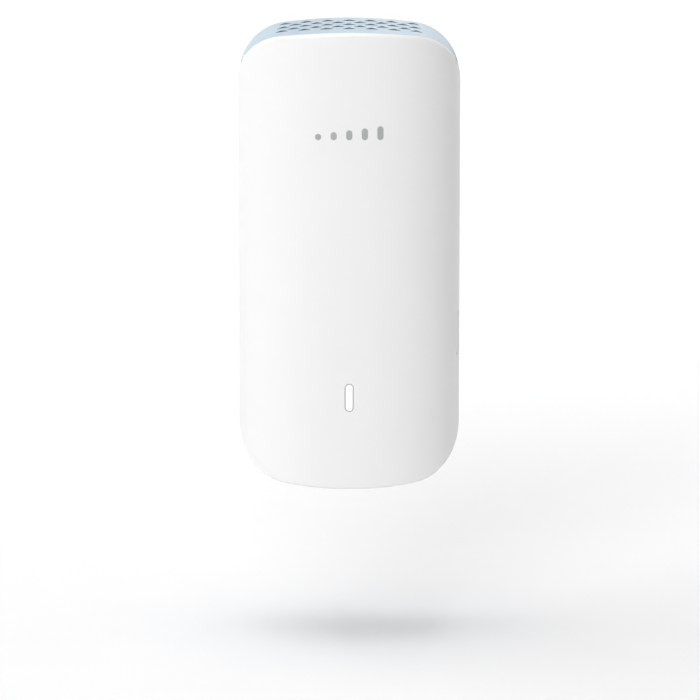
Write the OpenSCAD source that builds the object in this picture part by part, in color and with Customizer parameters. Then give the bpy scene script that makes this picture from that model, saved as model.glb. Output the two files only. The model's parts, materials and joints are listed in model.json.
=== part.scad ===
// Wall-plug wireless range extender, built as separate shells, boards and components.
// Millimetres. The origin is midway between the two plug blades on the flat rear face.
// +Z is up, +X is to the right seen from the front, and the front cover faces -Y.

/* [Body] */
// Overall width
body_w = 62; // [58:1:68]
// Overall height, crown to crown
body_h = 127; // [120:0.5:136]
// Overall depth, rear face to the front of the cover
body_d = 42; // [40:0.5:48]
// Depth of the curved part of the front cover
front_curve_d = 26; // [25:0.5:27]
// Roundness of the front cover seen from above, 2 is an ellipse
front_power = 2.5; // [2.4:0.1:2.8]
// Radius of the four corners seen from the front
corner_r = 14.5; // [14:0.5:16]
// Radius of the crowned top and bottom
crown_r = 140; // [120:5:160]
// Height of the plug blades above the lowest point
plug_h = 22; // [20:1:24]
// Wall thickness of the shells
wall = 1.8; // [1.6:0.1:2.2]

/* [Vents] */
// Pitch of the vent holes along the front row
vent_pitch = 6.2; // [6:0.05:6.4]
// Pitch between rows of vent holes
vent_row_pitch = 5; // [4.8:0.1:5.2]
// Width of one vent hole
vent_hole_w = 3.6; // [2.6:0.1:4]

/* [Plug] */
// Distance between the blade centres
blade_gap = 12.7; // [12.6:0.1:12.8]
// Thickness of a blade
blade_t = 1.5; // [1.4:0.1:1.6]
// Length of a blade outside the rear face
blade_len = 17; // [16:0.5:18.2]
// Width of the live blade
live_w = 6.35; // [6.1:0.05:6.6]
// Width of the wider neutral blade
neutral_w = 7.9; // [7.8:0.05:8.1]

/* [Controls] */
// Travel of the setup button and of both switch plungers
press_travel = 0.3; // [0.2:0.05:0.35]
// Gap between a moving piece and what guides it
running_gap = 0.3; // [0.25:0.05:0.4]
// Height of the status window centre above the lowest point
window_h = 26; // [25:0.5:28]

/* [Boards] */
// Thickness of both circuit boards
board_t = 1.6; // [1.2:0.2:1.6]
// Radius of an aerial cable
cable_r = 0.57; // [0.5:0.01:0.7]

/* [Hidden] */
$fn = 48;
eps = 0.01;
fit = 0.15;                        // gap between shells that sit in each other
half_w = body_w / 2;
z_low = -plug_h;
z_top = body_h - plug_h;
z_mid = (z_low + z_top) / 2;
side_d = body_d - front_curve_d;   // depth of the straight sides, where the two shells meet
back_wall = 2.4;
rear_r = 4;
corner_x = half_w - corner_r;
crown_rise = sqrt(pow(crown_r - corner_r, 2) - pow(corner_x, 2));
crown_angle = acos(corner_x / (crown_r - corner_r));
corner_z_top = z_top - crown_r + crown_rise;
corner_z_low = z_low + crown_r - crown_rise;
window_z = z_low + window_h;
window_w = 1.9;
window_len = 7.4;

power_y = -17;                     // rear side of the power board
main_y = -23;                      // rear side of the main board
main_front = main_y - board_t;     // component side of the main board
carrier_y = -19.9;
carrier_t = 1.4;
button_y = -27;
button_z = 19;
cap_y = -24;                       // middle of the setup button's outer cap
button_len = 12;
button_w = 4;
switch_x = 23.4;                   // outer face of the setup switch's case
plunger_len = 1.2;
reset_x = 17;
reset_z = -13;                     // lower face of the reset switch's case
jack_w = 16;
jack_h = 13.4;
jack_d = 18.5;
jack_z = z_low + 2.2;              // mouth of the network jack
jack_y = main_front - jack_h;      // front face of the network jack
socket_w = 11.8;
socket_h = 8;

// ---- Outlines ----

// Points of an arc, both ends included
function arc(x, y, r, from, to, steps) =
    [for (i = [0 : steps]) let (a = from + (to - from) * i / steps) [x + r * cos(a), y + r * sin(a)]];

// The rounded front outline in X and Z, moved inwards by inset
function outline_points(inset) = concat(
    arc(corner_x, corner_z_top, corner_r - inset, 0, crown_angle, 10),
    arc(0, z_top - crown_r, crown_r - inset, crown_angle + 1, 179 - crown_angle, 12),
    arc(-corner_x, corner_z_top, corner_r - inset, 180 - crown_angle, 180, 10),
    arc(-corner_x, corner_z_low, corner_r - inset, 180, 180 + crown_angle, 10),
    arc(0, z_low + crown_r, crown_r - inset, 181 + crown_angle, 359 - crown_angle, 12),
    arc(corner_x, corner_z_low, corner_r - inset, 360 - crown_angle, 360, 10));

// The outline seen from above in X and Y: flat back, straight sides and a curved front
function plan_points(inset) = concat(
    [for (i = [0 : 48]) let (a = 180 * i / 48, p = 2 / front_power)
        [sign(cos(a)) * (half_w - inset) * pow(abs(cos(a)), p), -side_d - (front_curve_d - inset)
                * pow(sin(a), p)]],
    arc(-half_w + rear_r, -rear_r, rear_r - inset, 180, 90, 6),
    arc(half_w - rear_r, -rear_r, rear_r - inset, 90, 0, 6));

module plan_prism(inset) {
    translate([0, 0, z_low - 5]) linear_extrude(body_h + 10) polygon(plan_points(inset));
}

module outline_prism(inset, from_y, to_y) {
    translate([0, from_y, 0]) rotate([90, 0, 0]) linear_extrude(from_y - to_y)
            polygon(outline_points(inset));
}

// A box given by its two corners
module block(low, high) {
    translate(low) cube(high - low);
}

// A block on the side s (1 right, -1 left), from x0 to x1 away from the middle
module side_block(s, x0, x1, y0, y1, z0, z1) block([s > 0 ? x0 : -x1, y0, z0], [s > 0 ? x1 : -x0, y1,
        z1]);

// The slot that a blade passes through, with a gap round it
module blade_slot(x, width, gap, from_y, to_y)
    block([x - blade_t / 2 - gap, from_y, -width / 2 - gap], [x + blade_t / 2 + gap, to_y,
            width / 2 + gap]);

// A slot with round ends along Z, running from from_y forwards to to_y
module pill_y(width, length, from_y, to_y, z) {
    straight = length / 2 - width / 2;
    for (s = [-1, 1]) translate([0, from_y, z + s * straight]) rotate([90, 0, 0]) cylinder(d = width,
            h = from_y - to_y);
    block([-width / 2, to_y, z - straight], [width / 2, from_y, z + straight]);
}

// A slot with round ends along Z, running from from_x to to_x
module pill_x(width, length, from_x, to_x, y, z) {
    straight = length / 2 - width / 2;
    for (s = [-1, 1]) translate([from_x, y, z + s * straight]) rotate([0, 90, 0]) cylinder(d = width,
            h = to_x - from_x);
    block([from_x, y - width / 2, z - straight], [to_x, y + width / 2, z + straight]);
}

module rod_y(r, from_y, to_y, x, z) {
    translate([x, from_y, z]) rotate([90, 0, 0]) cylinder(r = r, h = from_y - to_y);
}

// ---- Shells ----

clip_z = [z_mid - 34, z_mid, z_mid + 34];
hook_x = 28.4;                     // reach of the snap hooks

module front_cover() color([0.95, 0.95, 0.95]) difference() {
    union() {
        difference() {
            intersection() {
                plan_prism(0);
                outline_prism(0, -side_d - fit, -body_d - 1);
            }
            plan_prism(wall);
        }
        // Guide ribs that the snap hooks of the rear housing catch behind
        for (s = [-1, 1], z = clip_z) side_block(s, 28, 29.3, -side_d - 5, -side_d - 3.6, z - 4, z + 4);
    }
    pill_y(window_w + 0.5, window_len + 0.5, -side_d, -body_d - 1, window_z);
    pill_x(button_w + 2 * running_gap, button_len + 2 * running_gap, 20, half_w + 2, cap_y, button_z);
}

// Where the top and bottom panels sit: the full width behind the seam, inside the cover before it
module panel_zone(inset) {
    intersection() {
        plan_prism(0);
        outline_prism(inset, -back_wall - fit, -side_d);
    }
    intersection() {
        plan_prism(wall + fit);
        outline_prism(inset, -side_d + eps, -body_d);
    }
}

// A curved panel between the outline and the outline moved in by the wall thickness
module cap_panel() {
    difference() {
        panel_zone(0);
        outline_prism(wall, 1, -body_d - 1);
    }
}

// One vent hole, a triangle with its point towards the rear
module vent_hole(x, y) {
    w = vent_hole_w;
    translate([x, y, z_top - 8]) linear_extrude(10)
        polygon([[-w / 2, -w * 0.36], [w / 2, -w * 0.36], [w * 0.1, w * 0.42], [-w * 0.1, w * 0.42]]);
}

// Five staggered rows that follow the curve of the front
module vent_rows() {
    for (row = [0 : 4]) {
        count = row % 2 == 0 ? 7 : 6;
        for (i = [0 : count - 1]) {
            x = (i - (count - 1) / 2) * (vent_pitch - 0.06 * row);
            y = -body_d + 13 + row * vent_row_pitch + (4 - 0.6 * row) * x * x / 360;
            vent_hole(x, y);
        }
    }
}

module top_vent_panel() color([0.80, 0.87, 0.91]) difference() {
    intersection() {
        cap_panel();
        block([-half_w - 1, -body_d, corner_z_top + fit], [half_w + 1, 0, z_top + 1]);
    }
    vent_rows();
}

module bottom_vent_panel() color([0.80, 0.87, 0.91]) difference() {
    intersection() {
        cap_panel();
        block([-half_w - 1, -body_d, z_low - 1], [half_w + 1, 0, corner_z_low - fit]);
    }
    block([-jack_w / 2 - 0.3, jack_y - 0.3, z_low - 1], [jack_w / 2 + 0.3, main_front + 0.3, z_low + 6]);
    translate([reset_x, button_y, z_low - 1]) cylinder(r = 1, h = 6);
    // Three rows of air slots behind the network jack
    for (row = [0 : 2], i = [-3 : 3]) translate([i * 5.2, -7.5 - row * 4.6, z_low - 1]) {
        for (s = [-1, 1]) translate([s * 1.1, 0, 0]) cylinder(d = 1.6, h = 6);
        block([-1.1, -0.8, 0], [1.1, 0.8, 6]);
    }
}

module rear_housing() color([0.94, 0.94, 0.94]) difference() {
    union() {
        intersection() {
            plan_prism(0);
            outline_prism(0, 0, -back_wall);
        }
        // Side walls up to the seam
        difference() {
            intersection() {
                plan_prism(0);
                block([-half_w - 1, -side_d, corner_z_low], [half_w + 1, -back_wall + eps, corner_z_top]);
            }
            block([-half_w + wall, -side_d - 1, z_low], [half_w - wall, -back_wall + 2 * eps, z_top]);
        }
        // Snap hooks that reach into the front cover
        for (s = [-1, 1], z = clip_z) {
            side_block(s, 26.4, 27.7, -side_d - 8, -back_wall + eps, z - 3, z + 3);
            side_block(s, 26.4, hook_x, -side_d - 6.6, -side_d - 5.2, z - 3, z + 3);
            side_block(s, 27, 30, -6, -4.6, z - 3, z + 3);
        }
        // Seat around the blade carrier
        block([-14.6, -7, -11], [14.6, -back_wall + eps, 11]);
        for (p = power_screw_at) rod_y(2.6, -back_wall + eps, power_y + 0, p[0], p[1]);
        for (p = carrier_post_at) rod_y(2.2, -back_wall + eps, carrier_y, p[0], p[1]);
    }
    // Pocket for the blade carrier and the two blade windows
    block([-12.6, -8, -9], [12.6, -back_wall + 1, 9]);
    for (s = [-1, 1]) {
        width = s > 0 ? live_w : neutral_w;
        blade_slot(s * blade_gap / 2, width, 0.1, -4, 1);
    }
    for (p = power_screw_at) rod_y(0.95, -6, power_y - 1, p[0], p[1]);
    for (p = carrier_post_at) rod_y(0.95, -10, carrier_y - 1, p[0], p[1]);
    // Shallow recess for the rating label
    block([-20, -0.3, 34], [20, 1, 74]);
}

power_screw_at = [[-18, 82], [18, 20]];
carrier_post_at = [[-24, 88], [24, 88], [-24, -6], [24, -6]];

module status_window() color([1, 1, 1]) {
    intersection() {
        pill_y(window_w, window_len, -26.6, -body_d, window_z);
        plan_prism(0.15);
    }
    // Flange that rests behind the cover
    difference() {
        pill_y(window_w + 2.4, window_len + 2.4, -38.7, -39.9, window_z);
        pill_y(window_w - eps, window_len - eps, -38, -41, window_z);
    }
}

module light_gasket() color([0.15, 0.15, 0.15]) difference() {
    pill_y(window_w + 2, window_len + 2, -27.6, -36, window_z);
    pill_y(window_w + 0.2, window_len + 0.2, -27, -37, window_z);
}

flange_x = switch_x + plunger_len;

module setup_button() color([0.93, 0.93, 0.93]) {
    intersection() {
        pill_x(button_w, button_len, flange_x + 1.6, half_w, cap_y, button_z);
        plan_prism(0.15);
    }
    // Flange that keeps the button in the cover and pushes the switch
    block([flange_x, button_y - 2.6, button_z - 7], [flange_x + 1.1, button_y + 2.1, button_z + 7]);
    // Neck between the flange and the cap
    block([flange_x + 1, button_y + 0.9, button_z - 5], [flange_x + 1.9, button_y + 2.1, button_z + 5]);
}

module rating_label() color([0.86, 0.87, 0.88])
    block([-19.8, -0.29, 34.2], [19.8, -0.12, 73.8]);

// ---- Mains side ----

// A flat blade with a tapered tip, its length outside the rear face along +Y
module blade(x, width) {
    translate([x - blade_t / 2, 0, 0]) rotate([0, 90, 0]) linear_extrude(blade_t) difference() {
        polygon([[-width / 2, -12], [width / 2, -12], [width / 2, blade_len - 2],
            [width / 2 - 1.4, blade_len], [-width / 2 + 1.4, blade_len], [-width / 2, blade_len - 2]]);
        translate([0, blade_len - 4.6]) circle(d = 3.1);
    }
}

module live_blade() color([0.80, 0.79, 0.74]) blade(blade_gap / 2, live_w);
module neutral_blade() color([0.80, 0.79, 0.74]) blade(-blade_gap / 2, neutral_w);

module blade_carrier() color([0.85, 0.85, 0.82]) difference() {
    block([-12.4, -7.9, -8.8], [12.4, -back_wall + 1 - eps, 8.8]);
    for (s = [-1, 1]) {
        width = s > 0 ? live_w : neutral_w;
        blade_slot(s * blade_gap / 2, width, eps, -9, 1);
    }
}

module blade_springs() color([0.85, 0.70, 0.45]) for (s = [-1, 1]) translate([s * blade_gap / 2, 0, 0]) {
    for (side = [-1, 1]) block([side > 0 ? 0.76 : -1.16, power_y, -2.2], [side > 0 ? 1.16 : -0.76,
            -9.6, 2.2]);
    block([-1.16, power_y, -2.2], [1.16, power_y + 0.5, 2.2]);
    for (z = [-1.4, 1.4]) rod_y(0.5, power_y + eps, power_y - board_t - 0.6, 0, z);
}

module power_board() color([0.55, 0.45, 0.28]) difference() {
    block([-21, power_y - board_t, -8], [21, power_y, 88]);
    for (p = power_screw_at) rod_y(1.2, power_y + 1, power_y - 5, p[0], p[1]);
    for (s = [-1, 1], z = [-1.4, 1.4]) rod_y(0.55, power_y + 1, power_y - 5, s * blade_gap / 2, z);
    // Isolation slot between the mains side and the low-voltage side
    block([-19, power_y - 5, 48.6], [-7, power_y + 1, 49.6]);
    block([11, power_y - 5, 51], [19, power_y + 1, 52]);
}

module mains_fuse() color([0.75, 0.25, 0.2]) {
    translate([15.5, -14, -5]) cylinder(r = 2.4, h = 8);
    for (z = [-5.8, 3]) translate([15.5, -14, z]) cylinder(r = 0.35, h = 0.8);
    for (z = [-5.6, 3.6]) rod_y(0.3, -14, power_y + eps, 15.5, z);
}

module bridge_rectifier() color([0.12, 0.12, 0.12]) {
    block([-19, -16, -4], [-11, -13, 3]);
    for (x = [-18, -12], z = [-4.8, 3]) block([x - 0.5, power_y + eps, z], [x + 0.5, -14.2, z + 0.8]);
}

module mains_choke() color([0.70, 0.42, 0.22]) {
    rod_y(4.6, -5.6, -6.8, 8, 16);
    rod_y(3.9, -6.8, -15, 8, 16);
    rod_y(4.6, -15, -16.2, 8, 16);
    for (s = [-1, 1]) rod_y(0.35, -16, power_y + eps, 8 + s * 2, 16);
}

bulk_x = [-15, -4];

module bulk_capacitors() color([0.10, 0.12, 0.16]) for (x = bulk_x) {
    translate([x, -11.4, 24.6]) cylinder(r = 5, h = 20);
    translate([x, -11.4, 44.5]) cylinder(r = 4.5, h = 0.7);
    translate([x, -11.4, 24]) cylinder(r = 4.6, h = 0.7);
    for (s = [-1, 1]) {
        translate([x + s * 1.25, -11.4, 22.4]) cylinder(r = 0.3, h = 1.8);
        rod_y(0.3, -11.2, power_y + eps, x + s * 1.25, 22.6);
    }
}

core_z = 58;

module transformer_core() color([0.20, 0.20, 0.22]) difference() {
    block([-9, -13.5, core_z - 7], [9, -8.5, core_z + 7]);
    for (s = [-1, 1]) block([s > 0 ? 2.5 : -6.5, -14, core_z - 4], [s > 0 ? 6.5 : -2.5, -8, core_z + 4]);
}

module transformer_winding() color([0.85, 0.70, 0.25]) {
    difference() {
        block([-6.4, -15.6, core_z - 3.9], [6.4, -5.9, core_z + 3.9]);
        block([-2.5 - eps, -13.5 - eps, core_z - 5], [2.5 + eps, -8.5 + eps, core_z + 5]);
    }
    for (x = [-5, 5], z = [-3, 0, 3]) rod_y(0.35, -15, power_y + eps, x, core_z + z);
}

module isolation_capacitor() color([0.16, 0.36, 0.62]) {
    translate([13.4, -11.6, 60]) rotate([0, 90, 0]) cylinder(r = 4, h = 3);
    for (s = [-1, 1]) rod_y(0.3, -14, power_y + eps, 14.9, 60 + s * 2);
}

module optocoupler() color([0.93, 0.93, 0.90]) {
    block([11.6, -15.8, 44], [16.4, -12.6, 49]);
    for (x = [11, 16.4], z = [44.8, 47.4]) block([x, power_y + eps, z], [x + 0.6, -14.4, z + 0.8]);
}

module power_controller() color([0.12, 0.12, 0.12]) {
    block([5.4, -16.6, 32], [9.4, -15.2, 37]);
    for (x = [4.6, 9.4], i = [0 : 3]) block([x, power_y + eps, 32.4 + i * 1.27], [x + 0.8, -16,
            32.8 + i * 1.27]);
}

module output_rectifier() color([0.12, 0.12, 0.12]) {
    block([-18, -16.6, 53], [-13, -14.2, 61]);
    for (z = [52, 61]) block([-16.6, power_y + eps, z], [-14.4, -15.8, z + 1]);
}

module output_capacitors() color([0.10, 0.12, 0.16]) for (x = [-9, 1]) {
    rod_y(4, -4.6, -16, x, 76);
    rod_y(3.6, -16, -16.6, x, 76);
    for (s = [-1, 1]) rod_y(0.3, -16.4, power_y + eps, x + s * 1.25, 76);
}

link_x = [10.2 : 2.54 : 18];
link_z = 77;

module board_link_pins() color([0.85, 0.75, 0.40]) {
    for (x = link_x) block([x - 0.32, main_front - 1, link_z - 0.32], [x + 0.32, -19.4, link_z + 0.32]);
    block([8.9, main_y + eps, link_z - 1.2], [19.1, main_y + 0.6, link_z + 1.2]);
}

module board_link_socket() color([0.12, 0.12, 0.12]) difference() {
    block([8.9, main_y + 0.7, link_z - 1.2], [19.1, power_y - board_t - eps, link_z + 1.2]);
    for (x = link_x) block([x - 0.4, -24, link_z - 0.4], [x + 0.4, -19.2, link_z + 0.4]);
}

// ---- Board carrier and fasteners ----

module board_carrier() color([0.88, 0.88, 0.86]) difference() {
    union() {
        intersection() {
            block([-25.8, carrier_y - carrier_t, -17], [25.8, carrier_y, 101]);
            outline_prism(wall + 0.8, 0, -body_d);
        }
        for (p = carrier_post_at) rod_y(2.2, carrier_y - carrier_t + eps, main_y, p[0], p[1]);
    }
    for (p = carrier_post_at) rod_y(1.3, carrier_y + 1, main_y - 1, p[0], p[1]);
    for (p = power_screw_at) rod_y(3.2, carrier_y + 1, main_y - 1, p[0], p[1]);
    block([8.5, main_y, link_z - 1.6], [19.5, carrier_y + 1, link_z + 1.6]);
    // Openings that let air rise past the boards
    for (x = [-18, -9, 0, 9, 18]) block([x - 2.6, main_y, 92], [x + 2.6, carrier_y + 1, 94]);
    for (s = [-1, 1]) block([s * 12 - 7, main_y, 27], [s * 12 + 7, carrier_y + 1, 45]);
}

module insulation_sheet() color([0.9, 0.88, 0.7]) difference() {
    block([-21.4, -19.7, -8.4], [21.4, -19.3, 88.4]);
    for (p = power_screw_at) rod_y(3.2, -19, -20, p[0], p[1]);
    block([8.5, -20, link_z - 1.6], [19.5, -19, link_z + 1.6]);
}

// A pan-head screw with a cross recess; its head is towards -Y and rests on seat_y
module screw(x, z, seat_y, length) {
    difference() {
        rod_y(2, seat_y, seat_y - 1.4, x, z);
        for (turn = [0, 90]) translate([x, seat_y - 1.4, z]) rotate([0, turn, 0]) cube([2.4, 1.6,
                0.5], center = true);
    }
    rod_y(0.9, seat_y + length, seat_y - eps, x, z);
}

module power_board_screws() color([0.6, 0.6, 0.62])
    for (p = power_screw_at) screw(p[0], p[1], power_y - board_t, 8);

module main_board_screws() color([0.6, 0.6, 0.62])
    for (p = carrier_post_at) screw(p[0], p[1], main_front, 10.5);

// ---- Radio side ----

aerial_plug_x = [-18, -9, 9, 18];
aerial_plug_z = 85.4;

// A block that stands on the front side of the main board
module chip(x, z, width, height, thickness) {
    block([x - width / 2, main_front - thickness, z - height / 2], [x + width / 2, main_front,
            z + height / 2]);
}

module main_board() color([0.10, 0.32, 0.24]) difference() {
    translate([0, main_y, 0]) rotate([90, 0, 0]) linear_extrude(board_t)
        polygon([[-15, -18.4], [15, -18.4], [25.5, -9], [25.5, 90], [-25.5, 90], [-25.5, -9]]);
    for (p = carrier_post_at) rod_y(1.3, main_y + 1, main_front - 1, p[0], p[1]);
    for (x = link_x) rod_y(0.5, main_y + 1, main_front - 1, x, link_z);
}

module processor() color([0.13, 0.13, 0.14]) chip(0, 48, 14, 14, 1.4);
module memory_chip() color([0.13, 0.13, 0.14]) chip(16, 48, 8, 12, 1);
module flash_chip() color([0.13, 0.13, 0.14]) chip(-16, 40, 8, 6, 1.6);

radio_x = [-12.5, 12.5];
radio_z = 69;
shield_w = 21;
shield_h = 12;
shield_t = 2.4;

module radio_chips() color([0.13, 0.13, 0.14]) for (x = radio_x) chip(x, radio_z, 8, 8, 0.9);

module radio_shield_frames() color([0.75, 0.75, 0.73]) for (x = radio_x) difference() {
    chip(x, radio_z, shield_w, shield_h, shield_t);
    translate([0, -eps, 0]) chip(x, radio_z, shield_w - 0.6, shield_h - 0.6, shield_t + 1);
    translate([0, 1, 0]) chip(x, radio_z, shield_w - 0.6, shield_h - 0.6, shield_t);
}

module radio_shield_lids() color([0.80, 0.80, 0.78]) for (x = radio_x) translate([0, -shield_t, 0])
        difference() {
    chip(x, radio_z, shield_w + 0.2, shield_h + 0.2, 0.25);
    for (i = [-2 : 2]) rod_y(0.6, main_front + 1, main_front - 1, x + i * 3.6, radio_z + 4.2);
}

spread_y = main_front - 3.6;       // rear side of the heat spreader

module thermal_pads() color([0.62, 0.66, 0.72]) {
    block([-7, spread_y, 41], [7, main_front - 1.4, 55]);
    for (x = radio_x) block([x - 7, spread_y, radio_z - 4], [x + 7, main_front - shield_t - 0.25,
            radio_z + 3]);
}

module heat_spreader() color([0.78, 0.79, 0.80]) {
    block([-22, spread_y - 1.6, 33], [22, spread_y, 76]);
    for (x = [-20 : 5 : 20]) block([x - 0.6, spread_y - 5.4, 33], [x + 0.6, spread_y - 1.6 + eps, 76]);
}

// The socket that a network plug goes up into, with its latch notch towards the board
module socket_space() {
    block([-socket_w / 2, jack_y + 1.6, jack_z - 1], [socket_w / 2, jack_y + 1.6 + 6.8, jack_z + 14]);
    block([-3.1, jack_y + 8, jack_z - 1], [3.1, jack_y + 1.6 + socket_h + 0.6, jack_z + 10]);
}

module network_jack() color([0.12, 0.12, 0.13]) difference() {
    block([-jack_w / 2 + 0.3, jack_y + 0.3, jack_z], [jack_w / 2 - 0.3, main_front,
            jack_z + jack_d - 0.3]);
    socket_space();
}

module network_jack_contacts() color([0.92, 0.78, 0.40]) for (i = [-3.5 : 1 : 3.5]) {
    translate([i * 1.02, jack_y + 1.78, jack_z + 4]) rotate([-12, 0, 0]) cylinder(r = 0.16, h = 10.1);
}

module network_jack_shield() color([0.78, 0.78, 0.76]) difference() {
    block([-jack_w / 2, jack_y, jack_z], [jack_w / 2, main_front, jack_z + jack_d]);
    block([-jack_w / 2 + 0.29, jack_y + 0.29, jack_z - 1], [jack_w / 2 - 0.29, main_front + 1,
            jack_z + jack_d - 0.29]);
}

module network_transformer() color([0.10, 0.10, 0.11]) {
    chip(-17, 6, 7, 15, 4);
    for (s = [-1, 1], i = [-5 : 5]) chip(-17 + s * 4, 6 + i * 1.27, 1, 0.5, 0.8);
}

module status_led() color([0.97, 0.95, 0.80]) chip(0, window_z, 2.8, 3.5, 1.6);

// A side-push switch: its case has a pocket that the plunger slides in
module setup_switch() color([0.15, 0.15, 0.16]) difference() {
    block([switch_x - 3.8, main_front - 4.6, button_z - 3], [switch_x, main_front, button_z + 3]);
    block([switch_x - 1.5 - press_travel, button_y - 1, button_z - 1.7], [switch_x + 1, button_y + 1,
            button_z + 1.7]);
}

module setup_plunger() color([0.9, 0.9, 0.88])
    block([switch_x - 1.4, button_y - 0.7, button_z - 1.4], [switch_x + plunger_len - 0.02,
            button_y + 0.7, button_z + 1.4]);

module reset_switch() color([0.15, 0.15, 0.16]) difference() {
    block([reset_x - 3, main_front - 4.6, reset_z], [reset_x + 3, main_front, reset_z + 3.8]);
    block([reset_x - 1.7, button_y - 1, reset_z - 1], [reset_x + 1.7, button_y + 1,
            reset_z + 1.5 + press_travel]);
}

module reset_plunger() color([0.9, 0.9, 0.88])
    block([reset_x - 1.4, button_y - 0.7, reset_z - plunger_len], [reset_x + 1.4, button_y + 0.7,
            reset_z + 1.4]);

// ---- Aerials ----

module side_aerial(s) {
    side_block(s, 28.35, 29.15, -14.5, -4.5, 46, 70);
}

module aerial_left() color([0.30, 0.32, 0.20]) side_aerial(-1);
module aerial_right() color([0.30, 0.32, 0.20]) side_aerial(1);

module top_aerial(s) {
    block([s > 0 ? 4 : -20, -22.1, 94.6], [s > 0 ? 20 : -4, carrier_y - carrier_t, 99.6]);
}

module aerial_top_left() color([0.30, 0.32, 0.20]) top_aerial(-1);
module aerial_top_right() color([0.30, 0.32, 0.20]) top_aerial(1);

module aerial_connectors() color([0.82, 0.72, 0.42]) for (x = aerial_plug_x)
    rod_y(1.2, main_front, main_front - 1.5, x, aerial_plug_z);

// A point on the smooth curve through p1 and p2
function curve_point(p0, p1, p2, p3, t) =
    0.5 * (2 * p1 + (p2 - p0) * t + (2 * p0 - 5 * p1 + 4 * p2 - p3)
            * t * t + (3 * p1 - p0 - 3 * p2 + p3) * t * t * t);

function smooth_route(pts, steps) = let (n = len(pts) - 1) concat(
    [for (i = [0 : n - 1], k = [0 : steps - 1])
        curve_point(pts[max(i - 1, 0)], pts[i], pts[i + 1], pts[min(i + 2, n)], k / steps)],
    [pts[n]]);

function unit(v) = v / norm(v);

// A round tube along a smooth route
module tube(pts, r, sides) {
    route = smooth_route(pts, 5);
    last = len(route) - 1;
    rings = [for (i = [0 : last])
        let (t = unit(route[min(i + 1, last)] - route[max(i - 1, 0)]), u = unit(cross(t, [0.45, 0.8,
                0.3])), v = cross(t, u))
        for (k = [0 : sides - 1]) route[i] + r * (u * cos(360 * k / sides) + v * sin(360 * k / sides))];
    walls = [for (i = [0 : last - 1], k = [0 : sides - 1])
        let (a = i * sides + k, b = i * sides + (k + 1) % sides) each [[a, b, b + sides], [a,
                b + sides, a + sides]]];
    caps = [[for (k = [sides - 1 : -1 : 0]) k], [for (k = [0 : sides - 1]) last * sides + k]];
    polyhedron(points = rings, faces = concat(walls, caps), convexity = 6);
}

cable_y = main_front - 2.2;

// From the connector over the board's upper edge to the aerial above it
module top_cable(s) {
    tube([[s * 9, cable_y, 85.4], [s * 9, cable_y, 88], [s * 9.6, -26.4, 91], [s * 10.6, -24.6, 93.4],
        [s * 11.4, -23, 95.4], [s * 12, -22.75, 97.4]], cable_r, 8);
}

// From the connector round the carrier's edge and down to the aerial on the side wall
module side_cable(s) {
    tube([[s * 18, cable_y, 85.4], [s * 18.4, cable_y, 88.4], [s * 20.4, -26, 91.6], [s * 24, -24, 92],
        [s * 27, -20.6, 89], [s * 28, -16.8, 84], [s * 28.42, -13, 78], [s * 28.3, -11, 73],
                [s * 27.7, -10.2, 69],
        [s * 27.7, -10, 65]], cable_r, 8);
}

module aerial_cables() color([0.2, 0.2, 0.2]) for (s = [-1, 1]) {
    top_cable(s);
    side_cable(s);
}

module clock_crystals() color([0.80, 0.80, 0.78]) {
    chip(-16, 52, 3.2, 2.5, 0.8);
    chip(3, 28, 3.2, 2.5, 0.8);
}

module board_inductors() color([0.25, 0.25, 0.26]) for (p = [[-6, 18], [2, 20], [12, 16]])
    chip(p[0], p[1], 5, 5, 2.6);

module board_capacitors() color([0.72, 0.60, 0.42]) {
    for (i = [0 : 5]) chip(-10 + i * 4, 25, 1.2, 2, 0.9);
    for (i = [0 : 3]) chip(10.5, 40 + i * 4, 1, 1.8, 0.8);
    for (i = [0 : 3]) chip(-22.5, 34 + i * 4, 1, 1.8, 0.8);
}

front_cover();
rear_housing();
top_vent_panel();
bottom_vent_panel();
status_window();
setup_button();
rating_label();
live_blade();
neutral_blade();
blade_carrier();
blade_springs();
power_board();
mains_fuse();
bridge_rectifier();
mains_choke();
bulk_capacitors();
transformer_core();
transformer_winding();
isolation_capacitor();
optocoupler();
power_controller();
output_rectifier();
output_capacitors();
board_link_pins();
board_link_socket();
board_carrier();
insulation_sheet();
power_board_screws();
main_board();
main_board_screws();
processor();
memory_chip();
flash_chip();
radio_chips();
radio_shield_frames();
radio_shield_lids();
thermal_pads();
heat_spreader();
network_jack();
network_jack_contacts();
network_jack_shield();
network_transformer();
status_led();
setup_switch();
setup_plunger();
reset_switch();
reset_plunger();
aerial_left();
aerial_right();
aerial_top_left();
aerial_top_right();
aerial_connectors();
aerial_cables();
clock_crystals();
board_inductors();
board_capacitors();
light_gasket();
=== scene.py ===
"""Plug-in wireless range extender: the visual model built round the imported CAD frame.

Metres, in the frame of the CAD: the origin is midway between the plug blades on the flat
rear face, +Z is up, and the front faces -Y.
"""

import json
import math

import bmesh
import bpy
from mathutils import Matrix, Vector


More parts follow.
